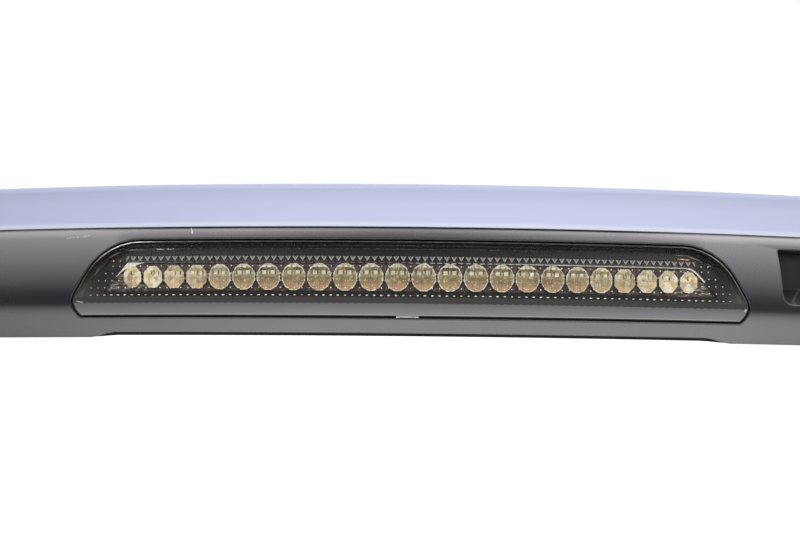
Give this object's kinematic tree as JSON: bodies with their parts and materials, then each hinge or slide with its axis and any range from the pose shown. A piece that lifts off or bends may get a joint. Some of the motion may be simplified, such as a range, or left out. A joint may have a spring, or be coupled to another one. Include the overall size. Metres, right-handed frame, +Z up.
{
  "type": "car rear spoiler",
  "caption": "Roof-edge spoiler with a primed upper skin on a black lower shell and a wide smoked high-level brake lamp let into its rear face.",
  "frame": {"origin": "centre of the bounding box's bottom face: Z = 0 is the lower edge of the two ends, on which the spoiler stands", "axes": "+X to the right as seen from behind the car, along the spoiler's width; +Y towards the front of the car, so the lamp faces -Y; +Z up"},
  "size_m": [1.18, 0.263, 0.1124],
  "materials": {
    "primer": "smooth light lavender-grey primer, satin to gloss",
    "black_shell": "black moulded plastic, semi-gloss",
    "adhesive": "dark structural adhesive",
    "smoked_lens": "clear smoked acrylic, polished",
    "clear_prisms": "clear acrylic, polished prisms",
    "champagne_optics": "clear optics with a champagne tint",
    "tray_plastic": "dark brown moulding with a low gloss",
    "board_laminate": "green solder resist",
    "diode_body": "white package with a clear dome",
    "chip_ceramic": "black ceramic chip",
    "zinc_steel": "bright zinc plating",
    "housing_plastic": "black moulded plastic, fine grain",
    "seal_rubber": "closed-cell rubber",
    "terminal_brass": "tinned brass blades",
    "foam": "closed-cell foam",
    "pin_plastic": "natural white nylon"
  },
  "bodies": {
    "root": {"upper_skin": "primer", "lower_shell": "black_shell", "bond_beads": "adhesive", "end_caps": "black_shell", "lamp_lens": "smoked_lens", "prism_panel": "clear_prisms", "pod_optics": "champagne_optics", "reflector_tray": "tray_plastic", "circuit_board": "board_laminate", "led_chips": "diode_body", "resistors": "chip_ceramic", "board_screws": "zinc_steel", "lamp_housing": "housing_plastic", "lamp_gasket": "seal_rubber", "lamp_screws": "zinc_steel", "connector_socket": "housing_plastic", "socket_terminals": "terminal_brass", "breather_plug": "seal_rubber", "mount_brackets": "housing_plastic", "threaded_inserts": "terminal_brass", "mount_washers": "foam", "locating_pins": "pin_plastic", "front_seal": "foam", "tailgate_seal": "foam"}
  },
  "joints": []
}
